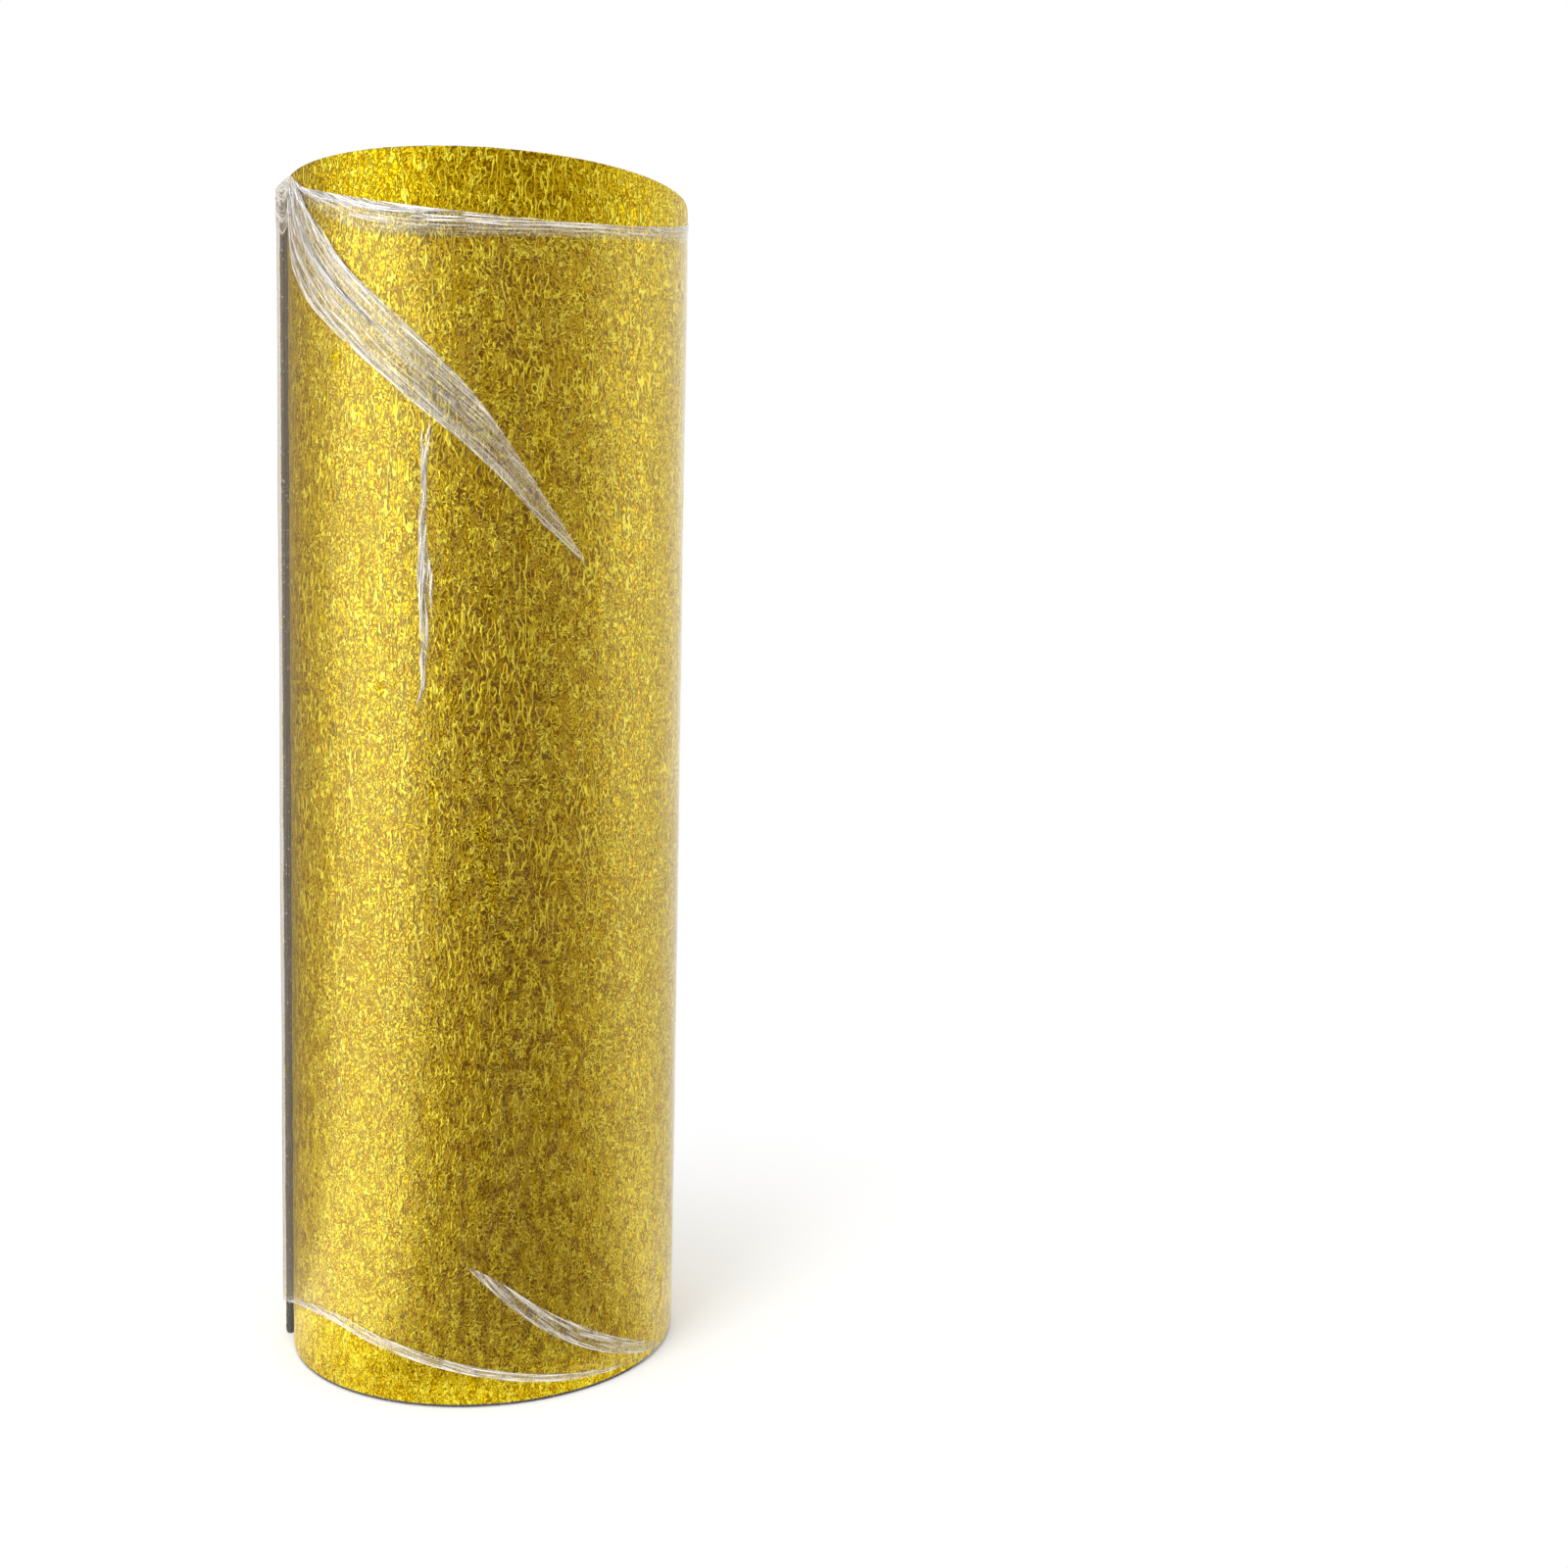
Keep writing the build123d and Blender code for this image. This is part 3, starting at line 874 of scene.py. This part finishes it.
# the film's loose end, a main fold and three beside it: width, milk and path
loose_folds = [
    (8.0, 0.75, [
        (252.0, 829), (252.2, 800), (252.6, 770), (252.3, 740), (252.8, 712), (252.4, 688),
        (252.9, 660), (252.3, 638), (252.4, 618), (250.6, 600),
    ]),
    (4.0, 0.9, [(254.3, 834), (253.7, 818), (253.0, 802), (252.8, 784), (253.2, 760)]),
    (3.5, 0.9, [(251.3, 762), (251.7, 736), (251.3, 708), (251.8, 682), (251.5, 655)]),
    (3.0, 1.0, [(253.6, 726), (254.6, 708), (254.5, 692), (255.0, 674)]),
]
for number, (width, milk, path) in enumerate(loose_folds):
    strand(
        f"film_loose_end_{number + 1}", "film_end_tab", path, width, seed=81 + 2 * number,
        lift=0.9 + 0.15 * number, milk=milk,
    )

ribbon(
    "film_band_lower", "film_lower_band",
    [(264, 128), (274, 110), (286, 82), (300, 56), (316, 31), (333, 8)],
    [(264, 127), (272, 101), (284, 68), (298, 40), (315, 18), (333, 4)],
    counts=(220, 16), seed=69, lift=1.0 * MM, ridge_height=0.3 * MM, ends=0.15,
)


# ---------------------------------------------------------------- floor, light and camera

room_light = 0.8
floor_glow = 0.15
tent_top = 0.9
pale_grey, plain_white = (0.8, 0.8, 0.8, 1.0), (1.0, 1.0, 1.0, 1.0)

# how bright the tent is, by bearing in degrees to the right of the front
tent_glow = [
    (-180, 1.0), (-168, 0.7), (-154, 0.3), (-120, 0.42), (-100, 0.65), (-88, 1.85), (-48, 1.8),
    (-32, 0.38), (0, 0.25), (35, 0.31), (55, 0.42), (67, 0.75), (80, 1.2), (92, 1.25), (104, 1.0),
    (126, 0.85), (145, 1.0), (180, 1.0),
]


def stage_mesh(name, points, faces, material):
    """A piece of the studio, which is not part of the roll."""
    mesh = bpy.data.meshes.new(name)
    mesh.from_pydata(points, [], faces)
    mesh.materials.append(material)
    made = bpy.data.objects.new(name, mesh)
    bpy.context.scene.collection.objects.link(made)
    return made


def white_to_eye(tree, otherwise):
    """1 for camera, mirror and glass rays, and otherwise for any other."""
    rays = [
        tree.node("ShaderNodeLightPath", out=f"Is {kind} Ray")
        for kind in ("Camera", "Glossy", "Transmission")
    ]
    seen = (rays[0] + rays[1] + rays[2]).clamp()
    return seen + (1.0 - seen) * otherwise


def floor():
    """A wide pale floor that keeps the roll's soft shadow, and further out shows as plain white."""
    shadow_reach, white_from, floor_radius = 0.28, 0.8, 30
    material, place = new_material("studio_floor")
    diffuse = place.node("ShaderNodeBsdfDiffuse", {}, {"Color": pale_grey})
    glow = place.node("ShaderNodeEmission", {}, {"Strength": floor_glow})
    lifted = place.node("ShaderNodeAddShader", {}, {0: diffuse, 1: glow})
    white = place.node("ShaderNodeEmission")
    distance = place.node("ShaderNodeVectorMath", {"operation": "LENGTH"}, {0: place}, out="Value")
    far = white_to_eye(place, 0.0) * distance.step(shadow_reach, white_from)
    both = place.node("ShaderNodeMixShader", {}, {0: far, 1: lifted, 2: white})
    place.node("ShaderNodeOutputMaterial", {}, {"Surface": both})
    ring = round_axis(np.linspace(0, 360, 97)[:-1], floor_radius, 0.0)
    stage_mesh("floor", ring.tolist(), [list(range(len(ring)))], material)


def world():
    """White where it is looked at, and a soft grey room as a light."""
    made = bpy.data.worlds.new("studio")
    made.use_nodes = True
    made.node_tree.nodes.clear()
    tree = Socket(made.node_tree)
    strength = white_to_eye(tree, room_light)
    background = tree.node(
        "ShaderNodeBackground", {}, {"Color": plain_white, "Strength": strength})
    tree.node("ShaderNodeOutputWorld", {}, {"Surface": background})
    bpy.context.scene.world = made


def light_tent():
    """The studio as mirrors see it: a tall round tent with bright and dim panels and a bright top.

    Its profile runs out over the floor, up a wall 4.5 m off, and bends over at 3.2 m to close
    overhead. Its brightness runs through the panels' levels with the bearing, and to the top's
    level with height. Dim parts are a little warmer. Only mirror rays see it.
    """
    tent_radius, wall_height, dome_height, opening = 4.5, 3.2, 2.0, 0.22
    wall_share, floor_dimming = 0.3, 0.12
    material, place = new_material("light_tent")
    glow = attribute_of(place, "glow")
    shade = glow.step(0.2, 0.9).between((1.0, 0.78, 0.5), (1.0, 1.0, 1.0))
    emission = place.node("ShaderNodeEmission", {}, {"Color": shade, "Strength": glow})
    material.cycles.emission_sampling = "NONE"
    place.node("ShaderNodeOutputMaterial", {}, {"Surface": emission})
    bearing = np.linspace(-180, 180, 241)[:, None]
    t = np.linspace(-1, 1, 61)[None]
    bend = np.clip((t - wall_share) / (1 - wall_share), 0, 1) * np.pi / 2
    on_floor = tent_radius + t * (tent_radius - opening)
    radius = np.where(t < 0, on_floor, tent_radius * np.cos(bend) + 1 * MM)
    height = 3 * MM + wall_height * np.clip(t / wall_share, 0, 1) + dome_height * np.sin(bend)
    points = round_axis(bearing - 90, radius, height)
    wall = np.interp(bearing, *np.transpose(tent_glow))
    top = smooth_step(0.2, 0.42, t)
    level = wall * (1 - floor_dimming * (t < 0)) * (1 - top) + tent_top * top
    index = np.arange(points.shape[0] * points.shape[1]).reshape(points.shape[:2])
    quads = np.stack([index[:-1, :-1], index[:-1, 1:], index[1:, 1:], index[1:, :-1]], axis=-1)
    tent = stage_mesh(
        "light_tent", points.reshape(-1, 3).tolist(), quads.reshape(-1, 4).tolist(), material)
    levels = tent.data.attributes.new("glow", "FLOAT", "POINT")
    levels.data.foreach_set("value", level.astype(np.float32).ravel())
    tent.visible_camera = tent.visible_diffuse = False
    tent.visible_transmission = tent.visible_shadow = False


def softbox(name, bearing, elevation, distance, width, height, power, aim):
    """A rectangular lamp that looks at the roll from a bearing in degrees, 0 being the front.

    It looks at the roll's axis, aim metres up, and mirrors don't show it.
    """
    turn, rise = math.radians(bearing), math.radians(elevation)
    lamp = bpy.data.lights.new(name, "AREA")
    lamp.shape = "RECTANGLE"
    lamp.size, lamp.size_y = width, height
    lamp.energy = power
    made = bpy.data.objects.new(name, lamp)
    target = Vector((0, 0, aim))
    away = Vector((
        math.sin(turn) * math.cos(rise), -math.cos(turn) * math.cos(rise), math.sin(rise)))
    made.location = target + distance * away
    made.rotation_euler = (-away).to_track_quat("-Z", "Y").to_euler()
    made.visible_camera = made.visible_glossy = False
    bpy.context.scene.collection.objects.link(made)


def camera():
    """A camera in front of the roll, a little above its middle, turned slightly to the right."""
    eye = Vector((0.0, -1.5775, 0.6671))
    forward = Vector((0.17398, 0.98061, -0.09023)).normalized()
    level_line = Vector((0.98474, -0.1728, 0.02085))
    up = level_line.cross(forward).normalized()
    right = forward.cross(up).normalized()
    made = bpy.data.objects.new("camera", bpy.data.cameras.new("camera"))
    made.data.sensor_width = 36.0
    made.data.lens = 38.376
    made.data.clip_start, made.data.clip_end = 0.05, 100.0
    turn = Matrix((right, up, -forward)).transposed()
    made.matrix_world = Matrix.Translation(eye) @ turn.to_4x4()
    bpy.context.scene.collection.objects.link(made)
    bpy.context.scene.camera = made


floor()
world()
light_tent()
softbox(
    "key_left", bearing=-35, elevation=10, distance=2.4, width=1.2, height=2.2, power=55, aim=0.5)
softbox(
    "overhead", bearing=-30, elevation=83, distance=5.0, width=2.4, height=2.4, power=75, aim=0.0)
camera()

bpy.context.scene.view_settings.view_transform = "Standard"
